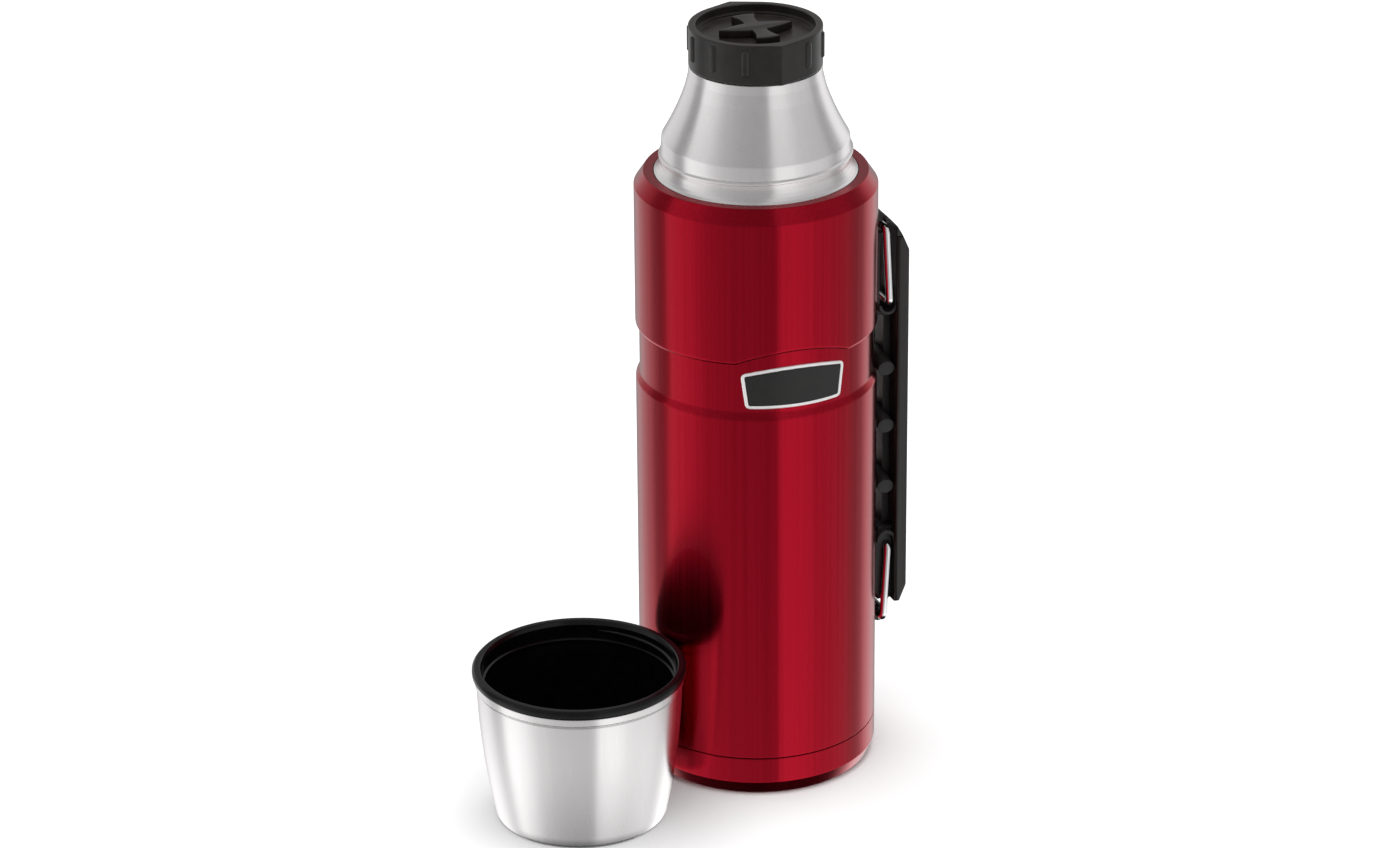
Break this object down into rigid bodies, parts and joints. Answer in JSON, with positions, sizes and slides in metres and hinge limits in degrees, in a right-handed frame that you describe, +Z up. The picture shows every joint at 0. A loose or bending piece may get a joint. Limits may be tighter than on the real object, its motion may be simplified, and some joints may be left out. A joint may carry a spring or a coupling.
{
  "type": "insulated water bottle",
  "caption": "Double-wall steel vacuum bottle with a twist-out stopper, steel cone neck, fold-out side handle on wire links and a drinking cup standing beside it.",
  "frame": {"origin": "middle of the bottle's foot, on the surface that it stands on", "axes": "+Z up the bottle's axis, +X towards the folded handle, -Y towards the badge"},
  "size_m": [0.1875, 0.1175, 0.3084],
  "materials": {
    "red_paint": "glossy metallic candy coat over steel",
    "brushed_steel": "fine brushed, satin",
    "inner_steel": "drawn and electropolished",
    "chrome_wire": "bright polished",
    "black_plastic": "fine moulded satin",
    "grip_plastic": "soft-touch moulded satin",
    "cup_plastic": "smooth moulded",
    "silicone": "matte translucent white",
    "foam": "open-cell foam",
    "badge_black": "satin enamel",
    "badge_silver": "polished raised edge",
    "getter_alloy": "sintered, dull"
  },
  "bodies": {
    "bottle": {"base_cap": "red_paint", "vessel_bottom": "inner_steel", "vacuum_seal": "getter_alloy", "outer_shell": "red_paint", "neck_cone": "brushed_steel", "inner_vessel": "inner_steel", "getter": "getter_alloy", "badge_plate": "badge_black", "badge_rim": "badge_silver", "upper_bracket": "black_plastic", "lower_bracket": "black_plastic"},
    "stopper_seal": {"rim_seal": "silicone"},
    "stopper": {"stopper_cap": "black_plastic", "stopper_turn_bar": "black_plastic", "stopper_plug": "black_plastic", "stopper_foam": "foam", "stopper_gasket": "silicone"},
    "lower_link": {"lower_link": "chrome_wire"},
    "upper_link": {"upper_link": "chrome_wire"},
    "grip": {"handle_shell": "black_plastic", "handle_grip": "grip_plastic"},
    "cup": {"cup_shell": "brushed_steel", "cup_liner": "cup_plastic"}
  },
  "joints": [
    {"name": "stopper_rise", "type": "slide", "parent": "bottle", "child": "stopper_seal", "axis": [0, 0, 1], "range_m": [0, 0.0262]},
    {"name": "stopper_twist", "type": "hinge", "parent": "stopper_seal", "child": "stopper", "pos_m": [0, 0, 0.2925], "axis": [0, 0, 1], "range_deg": [0, 1170]},
    {"name": "handle_lower_pivot", "type": "hinge", "parent": "bottle", "child": "lower_link", "pos_m": [0.0506, 0, 0.0512], "axis": [0, 1, 0], "range_deg": [0, 52]},
    {"name": "handle_grip_pivot", "type": "hinge", "parent": "lower_link", "child": "grip", "pos_m": [0.05239, 0, 0.08315], "axis": [0, 1, 0], "range_deg": [-52.5, 0.5]},
    {"name": "handle_upper_pivot", "type": "hinge", "parent": "bottle", "child": "upper_link", "pos_m": [0.0506, 0, 0.2205], "axis": [0, 1, 0], "range_deg": [-52.5, 0.5]},
    {"name": "cup_lift", "type": "slide", "parent": "bottle", "child": "cup", "axis": [0, 0, 1], "range_m": [0, 0.15]}
  ],
  "couplings": [
    {"joint": "stopper_rise", "follows": "stopper_twist", "m_per_rad": 0.0012732},
    {"joint": "handle_grip_pivot", "follows": "handle_lower_pivot", "ratio": -1},
    {"joint": "handle_upper_pivot", "follows": "handle_lower_pivot", "ratio": -1}
  ]
}
